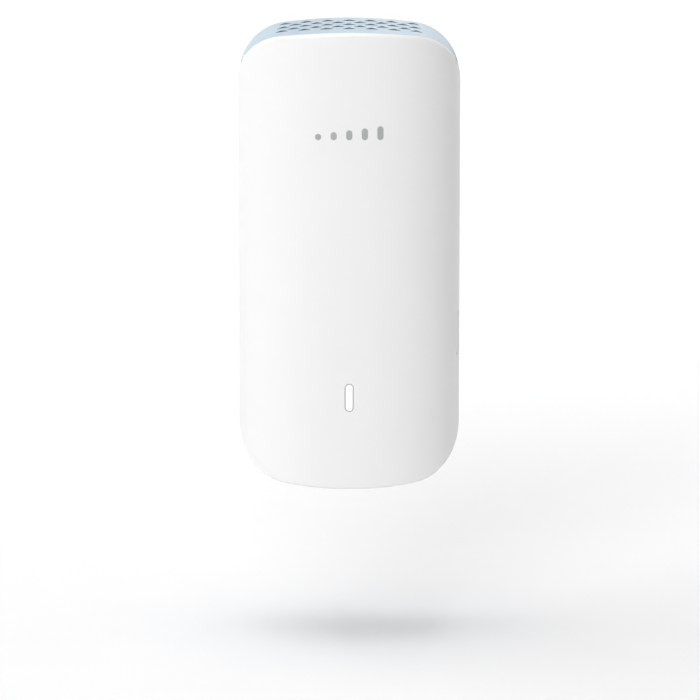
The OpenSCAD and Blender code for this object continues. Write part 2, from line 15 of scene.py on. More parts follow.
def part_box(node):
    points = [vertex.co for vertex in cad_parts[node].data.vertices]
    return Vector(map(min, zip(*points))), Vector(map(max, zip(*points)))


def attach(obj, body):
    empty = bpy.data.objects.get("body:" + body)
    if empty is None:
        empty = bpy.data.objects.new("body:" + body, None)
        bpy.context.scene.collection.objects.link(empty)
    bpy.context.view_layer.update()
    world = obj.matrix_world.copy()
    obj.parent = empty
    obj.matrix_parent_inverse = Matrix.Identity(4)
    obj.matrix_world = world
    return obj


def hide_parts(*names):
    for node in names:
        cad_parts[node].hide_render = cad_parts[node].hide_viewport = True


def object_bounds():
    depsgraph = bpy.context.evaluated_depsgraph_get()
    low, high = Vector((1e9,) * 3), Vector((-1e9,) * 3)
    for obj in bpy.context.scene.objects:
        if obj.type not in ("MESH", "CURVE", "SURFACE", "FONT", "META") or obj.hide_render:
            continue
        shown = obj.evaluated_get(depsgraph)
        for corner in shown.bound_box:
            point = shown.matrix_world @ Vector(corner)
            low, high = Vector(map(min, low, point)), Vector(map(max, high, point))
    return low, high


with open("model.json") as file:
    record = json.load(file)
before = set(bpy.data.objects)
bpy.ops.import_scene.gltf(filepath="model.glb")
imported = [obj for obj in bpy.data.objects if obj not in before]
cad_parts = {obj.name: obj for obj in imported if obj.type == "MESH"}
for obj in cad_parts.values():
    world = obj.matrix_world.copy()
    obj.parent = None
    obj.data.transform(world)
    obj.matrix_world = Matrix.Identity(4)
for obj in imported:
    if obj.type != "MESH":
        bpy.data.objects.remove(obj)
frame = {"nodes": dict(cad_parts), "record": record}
cad_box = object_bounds()

MM = 0.001

# ---- Sizes of the body, from the frame ----

cover_low, cover_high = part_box("front_cover")
HALF_W = cover_high[0]
Z_LOW, Z_TOP = cover_low[2], cover_high[2]
Z_MID = (Z_LOW + Z_TOP) / 2
FRONT_Y = cover_low[1]
SEAM_Y = -16 * MM  # where the two shells meet
CURVE_D = SEAM_Y - FRONT_Y  # depth of the curved front
FRONT_POWER = 2.5
CORNER_R = 14.5 * MM
CROWN_R = 140 * MM
WALL = 1.8 * MM
BACK_WALL = 2.4 * MM
FIT = 0.15 * MM  # gap between shells

# Centres of the corner and crown arcs of the front outline
CORNER_X = HALF_W - CORNER_R
CROWN_RISE = math.sqrt((CROWN_R - CORNER_R) ** 2 - CORNER_X**2)
CROWN_ANGLE = math.acos(CORNER_X / (CROWN_R - CORNER_R))
CORNER_Z = Z_TOP - CROWN_R + CROWN_RISE

# Light window low on the front; each gap is the one between a piece and its hole
WINDOW_Z = 4 * MM
WINDOW_W = 1.9 * MM
WINDOW_L = 7.4 * MM
WINDOW_GAP = 0.28 * MM

# Cap of the setup button, in the right side
BUTTON_Y = -24 * MM
BUTTON_Z = (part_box("setup_button")[0][2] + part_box("setup_button")[1][2]) / 2
BUTTON_W = 4.2 * MM
BUTTON_L = 12.2 * MM
BUTTON_GAP = 0.2 * MM

# Rating label, in a recess of the rear face
LABEL_Z = 54 * MM
LABEL_HALF = 19.8 * MM
RECESS_HALF = 20 * MM


# ---- Curves of the body ----


def plan(angle, inset=0.0):
    """Point of the front cover seen from above: 0 is the right seam, pi/2 the middle."""
    power = 2 / FRONT_POWER
    x = (HALF_W - inset) * abs(math.cos(angle)) ** power
    y = SEAM_Y - (CURVE_D - inset) * max(0.0, math.sin(angle)) ** power
    return math.copysign(x, math.cos(angle)), y


def plan_y(x, inset=0.0):
    """Front surface at x, seen from above."""
    share = min(1.0, abs(x) / (HALF_W - inset))
    return SEAM_Y - (CURVE_D - inset) * (1 - share**FRONT_POWER) ** (1 / FRONT_POWER)


def plan_x(y, inset=0.0):
    """Side surface at y, seen from above."""
    share = min(1.0, max(0.0, (SEAM_Y - y) / (CURVE_D - inset)))
    return (HALF_W - inset) * (1 - share**FRONT_POWER) ** (1 / FRONT_POWER)


def top_z(x, inset=0.0):
    """Height of the crowned top at x, with the outline moved inwards by inset."""
    x = abs(x)
    if x <= (CROWN_R - inset) * math.cos(CROWN_ANGLE):
        return Z_TOP - CROWN_R + math.sqrt((CROWN_R - inset) ** 2 - x * x)
    return CORNER_Z + math.sqrt(max(0.0, (CORNER_R - inset) ** 2 - (x - CORNER_X) ** 2))


def top_normal(x):
    """Outward direction of the crowned top at x, as (x, z)."""
    side = math.copysign(1, x)
    if abs(x) <= CROWN_R * math.cos(CROWN_ANGLE):
        return x / CROWN_R, math.sqrt(1 - (x / CROWN_R) ** 2)
    across = min(1.0, (abs(x) - CORNER_X) / CORNER_R)
    return side * across, math.sqrt(1 - across * across)


def even_angles(count, inset=0.0):
    """Angles of points spaced evenly along the plan curve."""
    dense = [math.pi * (0.5 - 0.5 * math.cos(math.pi * i / 6000)) for i in range(6001)]
    points = [plan(a, inset) for a in dense]
    travelled = [0.0]
    for p, q in zip(points, points[1:]):
        travelled.append(travelled[-1] + math.dist(p, q))
    angles, i = [], 0
    for k in range(count + 1):
        goal = travelled[-1] * k / count
        while i < len(dense) - 2 and travelled[i + 1] < goal:
            i += 1
        span = travelled[i + 1] - travelled[i]
        share = min(1.0, (goal - travelled[i]) / span) if span else 0.0
        angles.append(dense[i] + share * (dense[i + 1] - dense[i]))
    return angles


def quarter(steps):
    """Pairs (cos, sin) from 0 to 90 degrees."""
    angles = [math.pi / 2 * i / steps for i in range(steps + 1)]
    return [(math.cos(a), math.sin(a)) for a in angles]


# ---- Meshes ----


def mesh_object(name, bm, angle=35):
    """Turns a bmesh into a smooth-shaded object whose edges over the angle stay sharp."""
    bmesh.ops.remove_doubles(bm, verts=bm.verts, dist=1e-7)
    bmesh.ops.recalc_face_normals(bm, faces=bm.faces)
    mesh = bpy.data.meshes.new(name)
    bm.to_mesh(mesh)
    bm.free()
    mesh.shade_smooth()
    mesh.set_sharp_from_angle(angle=math.radians(angle))
    obj = bpy.data.objects.new(name, mesh)
    bpy.context.scene.collection.objects.link(obj)
    return obj


def add_loft(bm, rings, closed=False, caps=True):
    """Adds faces between closed rings of points; caps fill the first and last ring."""
    rows = [[bm.verts.new(p) for p in ring] for ring in rings]
    pairs = list(zip(rows, rows[1:])) + ([(rows[-1], rows[0])] if closed else [])
    for low, high in pairs:
        for i in range(len(low)):
            j = (i + 1) % len(low)
            bm.faces.new((low[i], low[j], high[j], high[i]))
    if caps and not closed:
        bm.faces.new(rows[0][::-1])
        bm.faces.new(rows[-1])


def loft(name, rings, closed=False, caps=True, angle=35):
    bm = bmesh.new()
    add_loft(bm, rings, closed, caps)
    return mesh_object(name, bm, angle)


def join(name, parts, angle=35):
    """Joins objects into one mesh; none of them has a parent or a modifier."""
    bm = bmesh.new()
    for part in parts:
        bm.from_mesh(part.data)
        bpy.data.objects.remove(part)
    return mesh_object(name, bm, angle)


def cut(obj, *cutters, angle=35):
    """Subtracts closed cutters from an object for good."""
    for cutter in cutters:
        modifier = obj.modifiers.new("cut", "BOOLEAN")
        modifier.operation = "DIFFERENCE"
        modifier.solver = "EXACT"
        modifier.use_self = False
        modifier.object = cutter
    bpy.context.view_layer.update()
    depsgraph = bpy.context.evaluated_depsgraph_get()
    result = bpy.data.meshes.new_from_object(obj.evaluated_get(depsgraph))
    obj.modifiers.clear()
    obj.data = result
    obj.data.shade_smooth()
    obj.data.set_sharp_from_angle(angle=math.radians(angle))
    for cutter in cutters:
        bpy.data.objects.remove(cutter)
    return obj


def pill(width, length, steps=14):
    """Outline of a pill whose long side is the second coordinate."""
    r, straight = width / 2, (length - width) / 2
    turns = [math.pi * i / steps for i in range(steps + 1)]
    upper = [(r * math.cos(t), straight + r * math.sin(t)) for t in turns]
    return upper + [(-x, -y) for x, y in upper]


def box_points(low, high):
    """Corners of a box as two rings for loft()."""
    (x0, y0, z0), (x1, y1, z1) = low, high
    return [[(x0, y0, z), (x1, y0, z), (x1, y1, z), (x0, y1, z)] for z in (z0, z1)]


def bevelled(obj, width, segments=2, angle=30):
    """Rounds the edges that are sharper than the angle."""
    modifier = obj.modifiers.new("edge", "BEVEL")
    modifier.width = width
    modifier.segments = segments
    modifier.limit_method = "ANGLE"
    modifier.angle_limit = math.radians(angle)
    modifier.harden_normals = True
    return obj


# ---- Front cover ----

RIM_R = 1.0 * MM  # rounding of the cover's outer border
INNER_R = 0.15 * MM  # the same at its inner border


def rim_length(angle):
    """How far the border's rounding reaches, less where the faces meet at a flat angle."""
    x0, y0 = plan(max(0.0, angle - 1e-4))
    x1, y1 = plan(min(math.pi, angle + 1e-4))
    tangent = Vector((x1 - x0, y1 - y0)).normalized()
    out_x = abs(tangent.y)
    up_x = abs(top_normal(plan(angle)[0])[0])
    turn = math.acos(max(-1.0, min(1.0, out_x * up_x)))
    return RIM_R * math.tan(turn / 2)


def cover_section(angle, shrink=0.0, rows=56):
    """One upright section of the cover as a closed ring, its edges rounded."""
    reach = rim_length(angle)

    def at(inset, drop, top):
        x, y = plan(angle, inset)
        z = top_z(x, drop + shrink)
        return (x, y, z if top else 2 * Z_MID - z)

    outer = shrink
    inner = WALL - shrink
    rim = [(outer + reach * (1 - c), reach * (1 - s)) for c, s in quarter(7)]
    lip = [(inner - INNER_R * (1 - s), INNER_R * (1 - c)) for c, s in quarter(3)]
    top = [at(i, d, True) for i, d in rim] + [at(i, d, True) for i, d in lip]
    low = [at(i, d, False) for i, d in rim] + [at(i, d, False) for i, d in lip]

    def wall(start, end):
        steps = [k / rows for k in range(1, rows)]
        return [tuple(Vector(start).lerp(Vector(end), k)) for k in steps]

    return top + wall(top[-1], low[-1]) + low[::-1] + wall(low[0], top[0])


def build_cover():
    """The front cover as a loft of upright sections from seam to seam, with its two holes."""
    seam_round = 0.22 * MM
    limit = SEAM_Y - FIT - 1.2 * seam_round
    angles = even_angles(220)
    first = next(a for a in angles if plan(a)[1] < limit and a < math.pi / 2)
    middle = [a for a in angles if first <= a <= math.pi - first]
    rings = []
    # The seam edge is rounded by sections that shrink towards it
    ends = [(FIT + seam_round * (1 - s), seam_round * (1 - c)) for c, s in quarter(4)]

    def seam_angle(depth):
        return math.asin((depth / CURVE_D) ** (FRONT_POWER / 2))

    starts = [(seam_angle(depth), shrink) for depth, shrink in ends[::-1]]
    for a, shrink in starts:
        rings.append(cover_section(a, shrink))
    for a in middle:
        rings.append(cover_section(a))
    for a, shrink in starts[::-1]:
        rings.append(cover_section(math.pi - a, shrink))
    cover = loft("front_cover_shell", rings)

    # Hole of the light window, its edge softened
    soft = 0.15 * MM
    gap = WINDOW_GAP
    y_face = plan_y(0)
    rings = []
    for grow, y in ((soft, y_face - MM), (soft, y_face), (0, y_face + soft), (0, y_face + 4 * MM)):
        outline = pill(WINDOW_W + 2 * (gap + grow), WINDOW_L + 2 * (gap + grow), 20)
        rings.append([(x, y, WINDOW_Z + z) for x, z in outline])
    window_cut = loft("window_cut", rings)

    # Hole of the setup button in the right side
    rings = []
    gap = BUTTON_GAP
    for grow, depth in ((soft + 2 * MM, -2 * MM), (soft, 0), (0, soft), (0, 5 * MM)):
        outline = pill(BUTTON_W + 2 * (gap + grow), BUTTON_L + 2 * (gap + grow), 20)
        side = [(BUTTON_Y + u, BUTTON_Z + v) for u, v in outline]
        rings.append([(plan_x(y) - depth, y, z) for y, z in side])
    button_cut = loft("button_cut", rings)
    return cut(cover, window_cut, button_cut)


cover = build_cover()
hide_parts("front_cover")
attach(cover, "body")


# ---- Vent panels ----

PANEL_EDGE = 0.15 * MM  # rounding of a panel's front and back border


def outline_point(x, inset, top=True):
    """Point on the top outline that faces x, moved inwards along the outline's normal."""
    nx, nz = top_normal(x)
    z = top_z(x) - inset * nz
    return x - inset * nx, (z if top else 2 * Z_MID - z)


def panel_front(x):
    """Front border of a panel at x: inside the cover, and at the seam beyond it."""
    inset = WALL + FIT
    if abs(x) >= HALF_W - inset:
        return SEAM_Y
    return plan_y(x, inset)


def panel_columns():
    """Values of x across a panel, close together where its border turns."""
    inset = WALL + FIT
    xs = {round(plan(a, inset)[0], 7) for a in even_angles(150, inset)}
    lowest = FIT / CORNER_R
    for i in range(25):
        turn = lowest + (math.pi / 2 - lowest) * i / 24
        x = CORNER_X + CORNER_R * math.cos(turn)
        if x > HALF_W - inset - 1e-6:
            xs |= {round(x, 7), round(-x, 7)}
    return sorted(xs)


def build_panel(name, top):
    """A curved panel, closed and without its holes, as a loft of sections from side to side."""
    rings = []
    back_y = -BACK_WALL - FIT
    for x in panel_columns():
        front_y = panel_front(x)
        rows = [front_y + (back_y - front_y) * k / 40 for k in range(41)]
        edge = [(PANEL_EDGE * (1 - s), PANEL_EDGE * (1 - c)) for c, s in quarter(3)]
        outer = [(d, front_y + i) for i, d in edge[::-1]]
        outer += [(0.0, y) for y in rows if front_y + PANEL_EDGE < y < back_y - PANEL_EDGE]
        outer += [(d, back_y - i) for i, d in edge]
        inner = [(WALL, back_y), (WALL, (front_y + back_y) / 2), (WALL, front_y)]
        ring = []
        for inset, y in outer + inner:
            px, pz = outline_point(x, inset, top)
            ring.append((px, y, pz))
        rings.append(ring)
    return loft(name, rings)


VENT_ROWS = 5
VENT_FIRST = 13 * MM  # from the front of the body to the middle of the first row
VENT_ROW_PITCH = 5 * MM
VENT_PITCH = 6.2 * MM
VENT_NARROWING = 0.06 * MM  # how much closer the holes of each next row are
VENT_W = 3.6 * MM


def vent_places():
    """Centres of the vent holes: five staggered rows that follow the front's curve."""
    for row in range(VENT_ROWS):
        count = 7 if row % 2 == 0 else 6
        for i in range(count):
            x = (i - (count - 1) / 2) * (VENT_PITCH - VENT_NARROWING * row)
            # The rows bow less towards the rear
            bow = (4 - 0.6 * row) * (x / MM) ** 2 / 360 * MM
            yield x, FRONT_Y + VENT_FIRST + row * VENT_ROW_PITCH + bow


def triangle(width, back, front, round_r):
    """Rounded triangle with its blunt point towards +Y, as (x, y) points."""
    side, tip = width / 2, width * 0.06
    corners = [(-side, -front), (side, -front), (tip, back), (-tip, back)]
    points = []
    for k, corner in enumerate(corners):
        before, after = Vector(corners[k - 1]), Vector(corners[(k + 1) % 4])
        corner = Vector(corner)
        reach = min(round_r, 0.35 * (before - corner).length, 0.35 * (after - corner).length)
        start = corner + (before - corner).normalized() * reach
        end = corner + (after - corner).normalized() * reach
        for t in (0.0, 0.25, 0.5, 0.75, 1.0):
            points.append(tuple((1 - t) ** 2 * start + 2 * t * (1 - t) * corner + t * t * end))
    return points


def vent_cutter():
    """All vent holes in one mesh: each has a straight throat and a ramp at its front."""
    bm = bmesh.new()
    for x, y in vent_places():
        nx, nz = top_normal(x)
        place = Matrix.Translation((x, y, top_z(x))) @ Matrix.Rotation(math.atan2(nx, nz), 4, "Y")
        # Height from the surface, then growth of the outline and reach of the ramp, in mm
        levels = (
            (3 * MM, 0.55, 0.95),
            (0.0, 0.22, 0.62),
            (-0.42 * MM, 0.0, 0.0),
            (-4 * MM, 0.0, 0.0),
        )
        rings = []
        for z, grow, ramp in levels:
            grow, ramp = grow * MM, ramp * MM
            outline = triangle(
                VENT_W + 2 * grow, VENT_W * 0.42 + grow, VENT_W * 0.36 + ramp, 0.4 * MM
            )
            rings.append([tuple(place @ Vector((px, py, z))) for px, py in outline])
        add_loft(bm, rings)
    return mesh_object("vent_cut", bm)


def air_slot_cutter():
    """The lower panel's openings: network jack, reset pin and three rows of air slots.

    Each opening is a stack of outlines, given by height from the surface and growth in mm."""
    bm = bmesh.new()
    jack_low, jack_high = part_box("network_jack_shield")
    gap = 0.3 * MM
    centre_y = (jack_low[1] + jack_high[1]) / 2
    half_x, half_y = jack_high[0] + gap, (jack_high[1] - jack_low[1]) / 2 + gap
    corners = ((-1, -1), (1, -1), (1, 1), (-1, 1))
    rings = []
    for z, grow in ((-3 * MM, 1.2), (0.0, 0.3), (0.5 * MM, 0.0), (6 * MM, 0.0)):
        x, y = half_x + grow * MM, half_y + grow * MM
        rings.append([(s * x, centre_y + t * y, Z_LOW + z) for s, t in corners])
    add_loft(bm, rings)
    # Round hole for the reset pin, under the plunger, and the air slots: x, y, length, width
    pin_low, pin_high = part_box("reset_plunger")
    pin_hole = 2 * MM
    pin_x, pin_y = (pin_low[0] + pin_high[0]) / 2, (pin_low[1] + pin_high[1]) / 2
    slots = [(pin_x, pin_y, pin_hole, pin_hole)]
    slot_pitch, row_pitch, first_row = 5.2, 4.6, -7.5
    for row in range(3):
        for i in range(-3, 4):
            y = (first_row - row * row_pitch) * MM
            slots.append((i * slot_pitch * MM, y, 3.8 * MM, 1.6 * MM))
    for x, y, length, width in slots:
        floor_z = 2 * Z_MID - top_z(x)
        rings = []
        for z, grow in ((-3 * MM, 1.0), (0.0, 0.2), (0.3 * MM, 0.0), (4 * MM, 0.0)):
            outline = pill(width + 2 * grow * MM, length + 2 * grow * MM, 8)
            rings.append([(x + v, y + u, floor_z + z) for u, v in outline])
        add_loft(bm, rings)
    return mesh_object("slot_cut", bm)


top_panel = cut(build_panel("top_vent_shell", True), vent_cutter())
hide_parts("top_vent_panel")
bottom_panel = cut(build_panel("bottom_vent_shell", False), air_slot_cutter())
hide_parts("bottom_vent_panel")
for panel in (top_panel, bottom_panel):
    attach(panel, "body")


# ---- Rear housing ----

SIDE_ROUND = 4 * MM  # rounding between the rear face and the sides
END_ROUND = 1.0 * MM  # the same at the crowned ends


def outline_loop(count_crown=24, count_corner=14, count_side=20):
    """The whole front outline as (x, z, nx, nz), anticlockwise from the right side."""
    first = []
    for i in range(count_side):
        first.append((HALF_W, Z_MID + (CORNER_Z - Z_MID) * i / count_side, 1.0, 0.0))
    for i in range(count_corner):
        a = CROWN_ANGLE * i / count_corner
        nx, nz = math.cos(a), math.sin(a)
        first.append((CORNER_X + CORNER_R * nx, CORNER_Z + CORNER_R * nz, nx, nz))
    for i in range(count_crown):
        a = CROWN_ANGLE + (math.pi / 2 - CROWN_ANGLE) * i / count_crown
        nx, nz = math.cos(a), math.sin(a)
        first.append((CROWN_R * nx, Z_TOP - CROWN_R + CROWN_R * nz, nx, nz))
    upper = first + [(0.0, Z_TOP, 0.0, 1.0)] + [(-x, z, -nx, nz) for x, z, nx, nz in first[:0:-1]]
    return upper + [(-x, 2 * Z_MID - z, -nx, -nz) for x, z, nx, nz in upper]


def rear_ring(y, inset_side, inset_end):
    """The outline at depth y, moved inwards by one amount at the sides and another at the ends."""
    ring = []
    for x, z, nx, nz in outline_loop():
        inset = inset_end + (inset_side - inset_end) * nx * nx
        ring.append((x - inset * nx, y, z - inset * nz))
    return ring


def build_rear_shell():
    """Rear face and side walls as one closed mesh: a cup, opened where the panels sit."""
    tip = 0.2 * MM
    rings = []
    # The rounded border of the rear face, from the flat face to the side walls
    for c, s in quarter(12)[::-1]:
        ring = []
        for x, z, nx, nz in outline_loop():
            r = END_ROUND + (SIDE_ROUND - END_ROUND) * (nx * nx)
            ring.append((x - r * (1 - c) * nx, -r * (1 - s), z - r * (1 - c) * nz))
        rings.append(ring)
    rings.append(rear_ring(SEAM_Y + tip, 0.0, 0.0))
    rings.append(rear_ring(SEAM_Y + 0.3 * tip, 0.3 * tip, 0.3 * tip))
    rings.append(rear_ring(SEAM_Y, tip, tip))
    shell = loft("rear_shell", rings)

    hollow = loft(
        "hollow", [rear_ring(-BACK_WALL, WALL, WALL), rear_ring(SEAM_Y - 5 * MM, WALL, WALL)]
    )
    # Room for the panels at the top and the bottom
    openings = []
    for z0, z1 in ((CORNER_Z, Z_TOP + 5 * MM), (Z_LOW - 5 * MM, 2 * Z_MID - CORNER_Z)):
        low = (-HALF_W - MM, SEAM_Y - 5 * MM, z0)
        openings.append(loft("opening", box_points(low, (HALF_W + MM, -BACK_WALL, z1))))
    # Recess of the rating label, with rounded corners
    rings = []
    for y, half in ((-0.3 * MM, RECESS_HALF), (0.0, RECESS_HALF), (1 * MM, RECESS_HALF + 1 * MM)):
        rings.append([(x, y, z + LABEL_Z) for x, z in rounded_square(half, 2 * MM)])
    recess = loft("recess", rings)
    # Slots of the two blades, each widening towards the outside
    slots = []
    gap = 0.1 * MM
    for node in ("live_blade", "neutral_blade"):
        low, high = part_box(node)
        rings = []
        for y, grow in ((-4 * MM, gap), (-0.5 * MM, gap), (0.0, 0.5 * MM), (1 * MM, 1.5 * MM)):
            x0, x1, z0, z1 = low[0] - grow, high[0] + grow, low[2] - grow, high[2] + grow
            rings.append([(x0, y, z0), (x1, y, z0), (x1, y, z1), (x0, y, z1)])
        slots.append(loft("slot", rings))
    return cut(shell, hollow, *openings, recess, *slots)


def rounded_square(half, r, steps=6):
    """Outline of a square with rounded corners."""
    points = []
    for sx, sy, start in ((1, 1, 0), (-1, 1, 90), (-1, -1, 180), (1, -1, 270)):
        for i in range(steps + 1):
            a = math.radians(start + 90 * i / steps)
            points.append((sx * (half - r) + r * math.cos(a), sy * (half - r) + r * math.sin(a)))
    return points


rear = build_rear_shell()
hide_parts("rear_housing")
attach(rear, "body")


# ---- Light window, setup button, label and printed mark ----


def dished_pill(name, width, length, place, edge, depth, shoulder=None, rings_in=6):
    """A pill-shaped cap with a rounded edge. place(u, v, d) gives the point at depth d.

    A shoulder is a wider part behind the cap, given as its extra reach and its depth."""
    bm = bmesh.new()
    if shoulder:
        reach, step = shoulder
        chamfer = 0.05 * MM
        sections = [(-reach, depth), (-reach, step + chamfer), (chamfer - reach, step), (0.0, step)]
    else:
        sections = [(0.0, depth), (0.0, depth * 0.5)]
    sections += [(edge * (1 - c), edge * (1 - s)) for c, s in quarter(6)]
    inner = width / 2 - edge
    sections += [(edge + inner * k / rings_in, 0.0) for k in range(1, rings_in)]
    rings = []
    for inset, d in sections:
        outline = pill(width - 2 * inset, length - 2 * inset, 20)
        rings.append([place(u, v, d) for u, v in outline])
    add_loft(bm, rings)
    return mesh_object(name, bm, 50)


# The light window sinks a hair below the cover, and its shoulder closes the gap round it
window = dished_pill(
    "light_window",
    WINDOW_W,
    WINDOW_L,
    lambda u, v, d: (u, plan_y(u, 0.06 * MM) + d, WINDOW_Z + v),
    0.12 * MM,
    15 * MM,
    (WINDOW_GAP - 0.04 * MM, 1.6 * MM),
)
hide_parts("status_window")
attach(window, "body")

# The setup button: a cap in the cover's hole, on a neck in front of a flat flange inside
button_low, button_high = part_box("setup_button")
button_cap = dished_pill(
    "setup_button_cap",
    BUTTON_W,
    BUTTON_L,
    lambda u, v, d: (plan_x(BUTTON_Y + u, 0.15 * MM) - d, BUTTON_Y + u, BUTTON_Z + v),
    0.35 * MM,
    4 * MM,
)
flange_top = (button_low[0] + 1.1 * MM, button_low[1] + 4.7 * MM, button_high[2])
button_flange = loft("button_flange", box_points(button_low, flange_top))
NECK_HALF = 5 * MM  # half of the neck's height
neck_low = (button_low[0] + 1 * MM, button_low[1] + 3.5 * MM, BUTTON_Z - NECK_HALF)
neck_top = (button_low[0] + 1.9 * MM, flange_top[1], BUTTON_Z + NECK_HALF)
button_neck = loft("button_neck", box_points(neck_low, neck_top))
button = join("setup_button_piece", [button_cap, button_flange, button_neck], 50)
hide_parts("setup_button")
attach(button, "setup_button")

# Blank rating label, in its recess
label = loft(
    "blank_rating_label",
    [
        [(x, y, z + LABEL_Z) for x, z in rounded_square(LABEL_HALF - d, 1.8 * MM)]
        for y, d in ((-0.29 * MM, 0.0), (-0.16 * MM, 0.0), (-0.12 * MM, 0.05 * MM))
    ],
)
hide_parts("rating_label")
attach(label, "body")


def build_mark():
    """A generic printed mark: five bars of rising height, a hair above the cover."""
    bm = bmesh.new()
    bar_w, pitch, high_h = 1.7 * MM, 4.25 * MM, 3.8 * MM  # the first bar is round
    drop = 27.3 * MM  # from the top of the body to the middle of the mark
    ink = 0.01 * MM
    base_z = Z_TOP - drop - high_h / 2
    for i in range(5):
        x0 = (i - 2) * pitch
        height = bar_w + (high_h - bar_w) * i / 4
        centre_z = base_z + height / 2
        outline = [(x0 + u, centre_z + v) for u, v in pill(bar_w, height, 10)]
        bm.faces.new([bm.verts.new((x, plan_y(x) - ink, z)) for x, z in outline])
    return mesh_object("printed_mark", bm)


mark = build_mark()
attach(mark, "body")


# ---- Materials ----


def new_material(name, base, roughness, metallic=0.0):
    material = bpy.data.materials.new(name)
    material.use_nodes = True
    shader = material.node_tree.nodes["Principled BSDF"]
    shader.inputs["Base Color"].default_value = (*base, 1.0)
    shader.inputs["Roughness"].default_value = roughness
    shader.inputs["Metallic"].default_value = metallic
    return material, material.node_tree, shader


def noise_node(tree, scale, detail=4.0, roughness=0.55):
    place = tree.nodes.new("ShaderNodeTexCoord")
    node = tree.nodes.new("ShaderNodeTexNoise")
    node.inputs["Scale"].default_value = scale
    node.inputs["Detail"].default_value = detail
    node.inputs["Roughness"].default_value = roughness
    tree.links.new(place.outputs["Object"], node.inputs["Vector"])
    return node


def ramp_node(tree, source, low, high, colors):
    ramp = tree.nodes.new("ShaderNodeValToRGB")
    ramp.color_ramp.elements[0].position = low
    ramp.color_ramp.elements[1].position = high
    ramp.color_ramp.elements[0].color = (*colors[0], 1.0)
    ramp.color_ramp.elements[1].color = (*colors[1], 1.0)
    tree.links.new(source, ramp.inputs["Fac"])
    return ramp


def add_bump(tree, shader, source, strength, distance):
    bump = tree.nodes.new("ShaderNodeBump")
    bump.inputs["Strength"].default_value = strength
    bump.inputs["Distance"].default_value = distance
    tree.links.new(source, bump.inputs["Height"])
    tree.links.new(bump.outputs["Normal"], shader.inputs["Normal"])


def surface(name, base, roughness, grain=2500.0, depth=0.00003, vary=0.03, metallic=0.0, **extra):
    """A moulded, printed or metal surface: fine grain in its bump, colour and gloss."""
    material, tree, shader = new_material(name, base, roughness, metallic)
    fine = noise_node(tree, grain)
    broad = noise_node(tree, 35.0, 2.0)
    dark = tuple(c * (1 - vary) for c in base)
    tint = ramp_node(tree, broad.outputs["Fac"], 0.3, 0.7, (dark, base))
    tree.links.new(tint.outputs["Color"], shader.inputs["Base Color"])
    gloss = ramp_node(
        tree,
        fine.outputs["Fac"],
        0.3,
        0.7,
        ((roughness * 0.88,) * 3, (min(1.0, roughness * 1.12),) * 3),
    )
    tree.links.new(gloss.outputs["Color"], shader.inputs["Roughness"])
    add_bump(tree, shader, fine.outputs["Fac"], 0.25, depth)
    for key, value in extra.items():
        shader.inputs[key.replace("_", " ")].default_value = value
    return material


WHITE = surface("white_plastic", (0.842, 0.84, 0.838), 0.38, vary=0.01, depth=0.00001)
BLUE = surface("blue_plastic", (0.465, 0.584, 0.675), 0.42, vary=0.015, depth=0.00001)
# Painted light: the light window's faint white emission is a glow that brightens it and stands in
# for the status light behind it
WINDOW_GLOW = surface("light_window", (0.98, 0.98, 0.98), 0.3, vary=0.0, depth=0.000005,
                Emission_Color=(1.0, 1.0, 1.0, 1.0), Emission_Strength=0.12)
LABEL = surface("label_paper", (0.62, 0.63, 0.64), 0.6, vary=0.02)
MARK = surface("mark_ink", (0.39, 0.40, 0.40), 0.55, vary=0.02)
# Dark blue-grey of painted shade for the inside of the vent holes; the panel itself is all one blue
# plastic
PAINTED_VENT_SHADE = surface("painted_vent_shade", (0.18, 0.24, 0.29), 0.6, vary=0.0)

for piece, material in (
    (cover, WHITE),
    (rear, WHITE),
    (button, WHITE),
    (top_panel, BLUE),
    (bottom_panel, BLUE),
    (window, WINDOW_GLOW),
    (label, LABEL),
    (mark, MARK),
):
    piece.data.materials.clear()
    piece.data.materials.append(material)

# Painted shade: the walls of the vent holes that face the front, and all walls deep down, get a
# dark blue-grey material that stands in for the shade inside the holes
top_panel.data.materials.append(PAINTED_VENT_SHADE)
VENT_REACH = 2.9 * MM  # no wall of a hole is further from the hole's centre
for polygon in top_panel.data.polygons:
    x, y, z = polygon.center
    depth = top_z(x) - z
    near = min(math.hypot(x - vent_x, y - vent_y) for vent_x, vent_y in vent_places())
    if near < VENT_REACH and 0.04 * MM < depth < WALL - 0.1 * MM:
        if polygon.normal.y < -0.15 or depth > 0.5 * MM:
            polygon.material_index = 1

